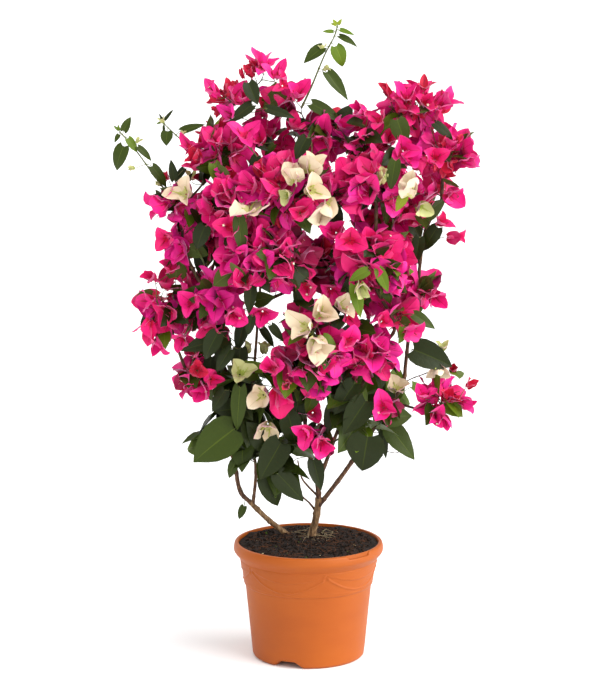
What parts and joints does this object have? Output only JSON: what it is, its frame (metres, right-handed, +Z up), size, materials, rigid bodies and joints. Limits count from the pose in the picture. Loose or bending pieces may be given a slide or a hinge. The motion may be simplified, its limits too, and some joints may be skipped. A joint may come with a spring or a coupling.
{
  "type": "bougainvillea bush in a pot",
  "caption": "Bushy bougainvillea with magenta bracts and a few cream ones, on thin branching stems, growing in a round terracotta-coloured plastic pot.",
  "frame": {"origin": "middle of the pot's flat underside", "axes": "+Z up along the pot's axis, -Y towards the front of the bush, +X to its right as seen from the front"},
  "size_m": [0.513, 0.28, 0.892],
  "materials": {
    "pot_plastic": "moulded terracotta-coloured plastic, low sheen",
    "compost": "damp peaty potting compost with bark fibres",
    "bark": "thin brown-grey bark with fine ridges and leaf scars",
    "green_shoots": "smooth young green shoots",
    "bracts": "papery magenta bracts, some crimson and some cream",
    "leaves": "dark green ovate leaves with a soft sheen"
  },
  "bodies": {
    "root": {"pot": "pot_plastic", "compost": "compost", "main_stem": "bark", "leader": "bark", "middle_bough": "bark", "right_bough": "bark", "right_bough_upper": "bark", "left_stem": "bark", "left_bough": "bark", "left_inner_bough": "bark", "top_shoot": "green_shoots", "left_shoot": "green_shoots", "upper_left_shoot": "green_shoots", "crest_tip": "bracts", "crest_left": "bracts", "crest_inner": "bracts", "crest_middle": "bracts", "crest_saddle": "bracts", "crest_right": "bracts", "left_shoulder": "bracts", "right_shoulder": "bracts", "right_edge": "bracts", "upper_front": "bracts", "left_front": "bracts", "right_front": "bracts", "left_flank": "bracts", "left_flank_low": "bracts", "right_flank": "bracts", "middle_front": "bracts", "middle_right": "bracts", "left_wing": "bracts", "left_wing_inner": "bracts", "right_side": "bracts", "right_low_front": "bracts", "low_front": "bracts", "low_right": "bracts", "low_left": "bracts", "low_centre": "bracts", "low_right_tuft": "bracts", "low_right_wing": "bracts", "leaves_left": "leaves", "leaves_inner_left": "leaves", "leaves_centre": "leaves", "leaves_right": "leaves", "leaves_right_outer": "leaves", "leaves_outer_right": "leaves", "upper_back": "bracts", "right_back": "bracts", "left_back": "bracts", "middle_back": "bracts", "right_middle_back": "bracts", "left_wing_back": "bracts", "leaves_back": "leaves", "leaves_right_back": "leaves", "leaves_left_back": "leaves", "top_shoot_leaves": "leaves", "left_shoot_leaves": "leaves", "upper_left_shoot_leaves": "leaves"}
  },
  "joints": []
}
